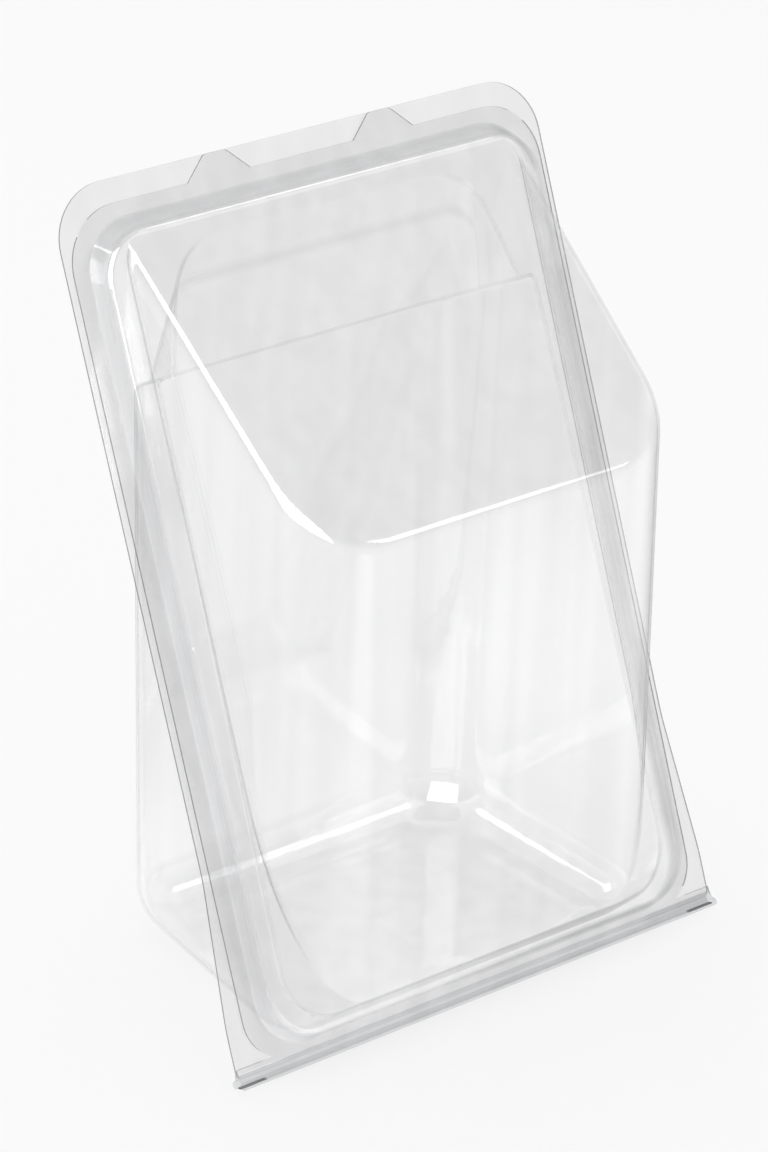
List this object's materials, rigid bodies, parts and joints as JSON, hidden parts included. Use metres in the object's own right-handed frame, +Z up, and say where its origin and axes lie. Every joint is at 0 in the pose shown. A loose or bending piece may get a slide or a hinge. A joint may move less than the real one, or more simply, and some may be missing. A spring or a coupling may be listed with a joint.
{
  "type": "plastic clamshell pack",
  "caption": "Clear hinged clamshell pack that stands upright, with a deep tray, a ridged dome lid and a raised lock ring round the sloping rim.",
  "frame": {"origin": "on the table, in the middle of the tray's flat floor", "axes": "+X across the pack along the hinge, +Y towards the tray's back wall, +Z up"},
  "size_m": [0.13, 0.0779, 0.1765],
  "materials": {
    "clear_sheet": "gloss"
  },
  "bodies": {
    "tray": {"base_tray": "clear_sheet"},
    "lid": {"lid": "clear_sheet"}
  },
  "joints": [
    {"name": "lid_hinge", "type": "hinge", "parent": "tray", "child": "lid", "pos_m": [0, -0.03889, 0.00149], "axis": [1, 0, 0], "range_deg": [0, 84]}
  ]
}
